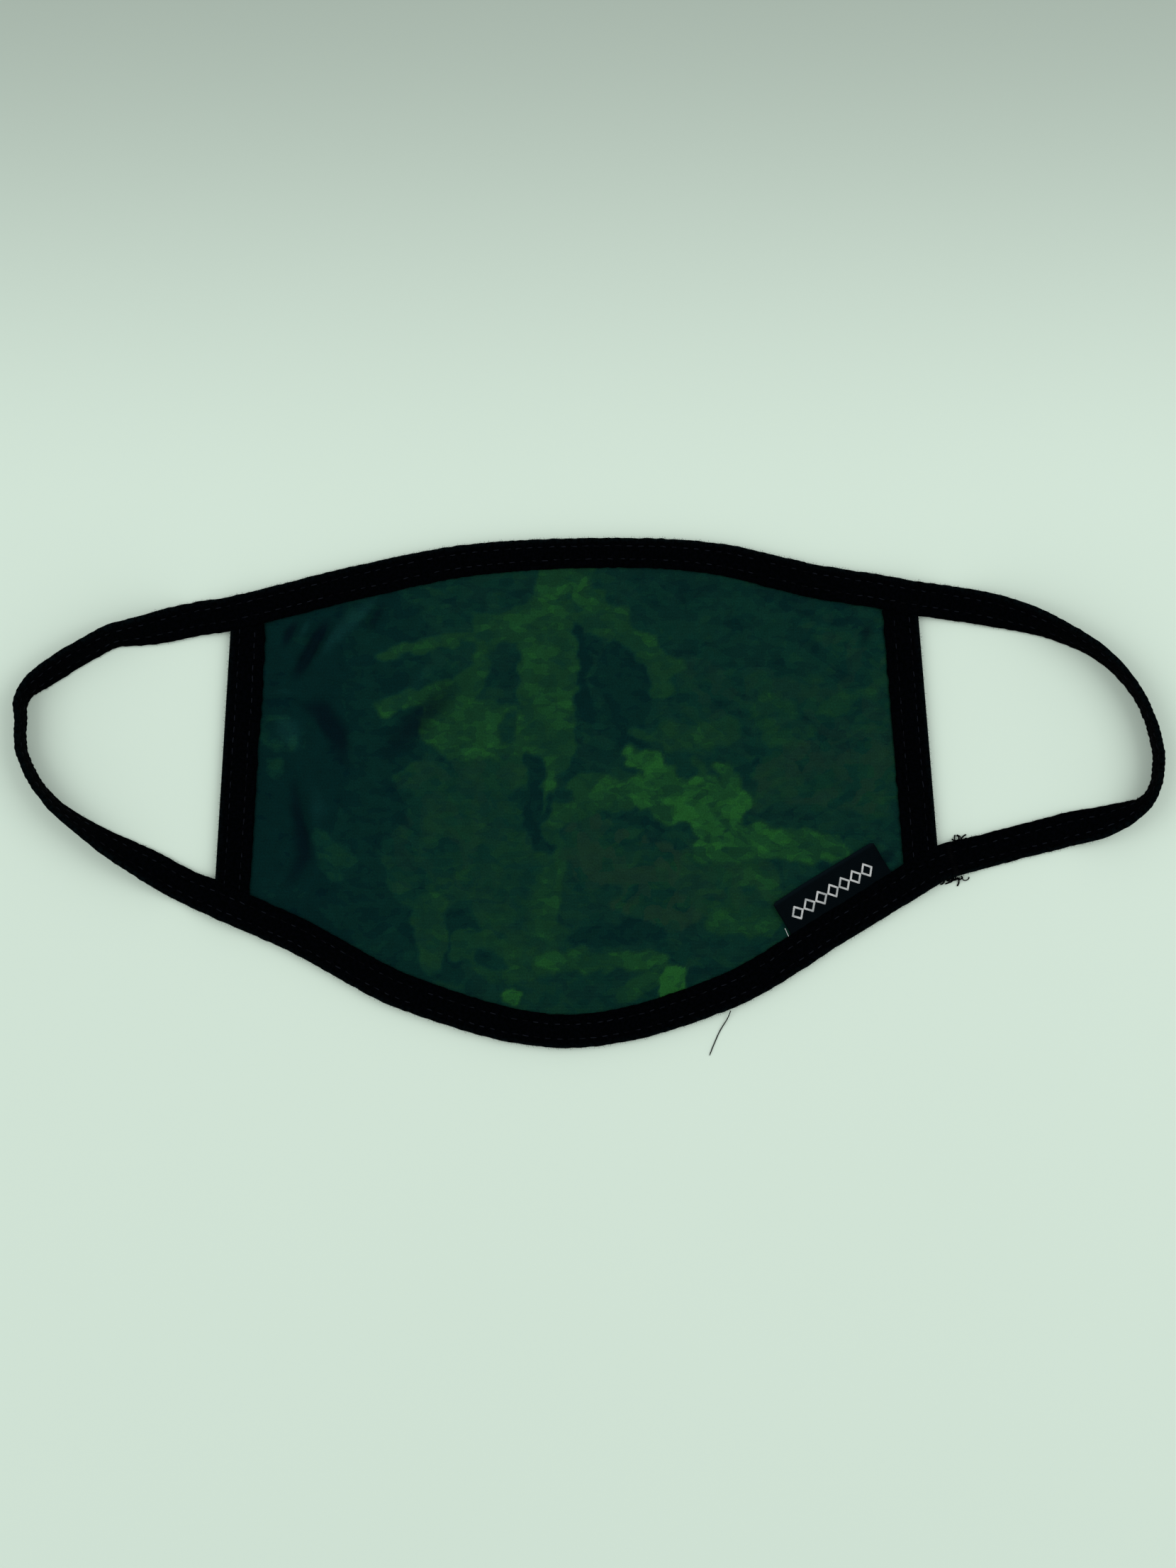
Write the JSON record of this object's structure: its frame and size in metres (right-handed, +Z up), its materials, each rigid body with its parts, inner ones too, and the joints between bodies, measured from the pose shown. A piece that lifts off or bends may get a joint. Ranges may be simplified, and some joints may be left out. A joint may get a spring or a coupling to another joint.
{
  "type": "face mask",
  "caption": "Cloth face mask lying flat: camouflage panel bound in black tape that also makes the two ear loops; it folds at the middle and at both loops.",
  "frame": {"origin": "centre of the bounding box in plan, on the surface the mask lies on", "axes": "+X across the mask to its right-hand ear loop, printed face up; +Y from chin to nose; +Z up out of the printed face"},
  "size_m": [0.3002, 0.1366, 0.009],
  "materials": {
    "camo_knit": "fine jersey knit, printed in dark teal, green and olive camouflage, matt with a slight sheen",
    "lining_knit": "plain charcoal jersey, matt",
    "binding_tape": "black rib-knit tape folded over, slightly fuzzy edges, matt",
    "sewing_thread": "dark blue-grey spun polyester thread",
    "pale_thread": "off-white thread",
    "woven_label": "woven satin damask, very dark navy, with a plain off-white line motif"
  },
  "bodies": {
    "left_half": {"outer_panel_left": "camo_knit", "lining_left": "lining_knit", "top_binding_left": "binding_tape", "bottom_binding_left": "binding_tape", "side_binding_left": "binding_tape", "top_thread_outer_left": "sewing_thread", "top_thread_inner_left": "sewing_thread", "bottom_thread_outer_left": "sewing_thread", "bottom_thread_inner_left": "sewing_thread", "side_thread_outer_left": "sewing_thread", "side_thread_inner_left": "sewing_thread"},
    "right_half": {"outer_panel_right": "camo_knit", "lining_right": "lining_knit", "top_binding_right": "binding_tape", "bottom_binding_right": "binding_tape", "side_binding_right": "binding_tape", "top_thread_outer_right": "sewing_thread", "top_thread_inner_right": "sewing_thread", "bottom_thread_outer_right": "sewing_thread", "bottom_thread_inner_right": "sewing_thread", "side_thread_outer_right": "sewing_thread", "side_thread_inner_right": "sewing_thread", "loose_thread": "sewing_thread", "label_thread": "pale_thread"},
    "left_loop": {"ear_loop_left": "binding_tape", "loop_thread_outer_left": "sewing_thread", "loop_thread_inner_left": "sewing_thread"},
    "right_loop": {"ear_loop_right": "binding_tape", "loop_thread_outer_right": "sewing_thread", "loop_thread_inner_right": "sewing_thread", "loop_bartack": "sewing_thread", "tack_thread_upper": "sewing_thread", "tack_thread_lower": "sewing_thread"},
    "label": {"side_label": "woven_label"}
  },
  "joints": [
    {"name": "centre_fold", "type": "hinge", "parent": "left_half", "child": "right_half", "pos_m": [-0.0001, 0.00133, 0.005], "axis": [0, -1, 0], "range_deg": [0, 120]},
    {"name": "left_loop_fold", "type": "hinge", "parent": "left_half", "child": "left_loop", "pos_m": [-0.0966, 0.01133, 0.0027], "axis": [0.0614, 0.9981, 0], "range_deg": [-90, 165]},
    {"name": "right_loop_fold", "type": "hinge", "parent": "right_half", "child": "right_loop", "pos_m": [0.0894, 0.01733, 0.0027], "axis": [0.083, -0.9965, 0], "range_deg": [-90, 165]},
    {"name": "label_flip", "type": "hinge", "parent": "right_half", "child": "label", "pos_m": [0.0664, -0.02807, 0.0028], "axis": [0.8499, 0.5269, 0], "range_deg": [0, 150]}
  ]
}
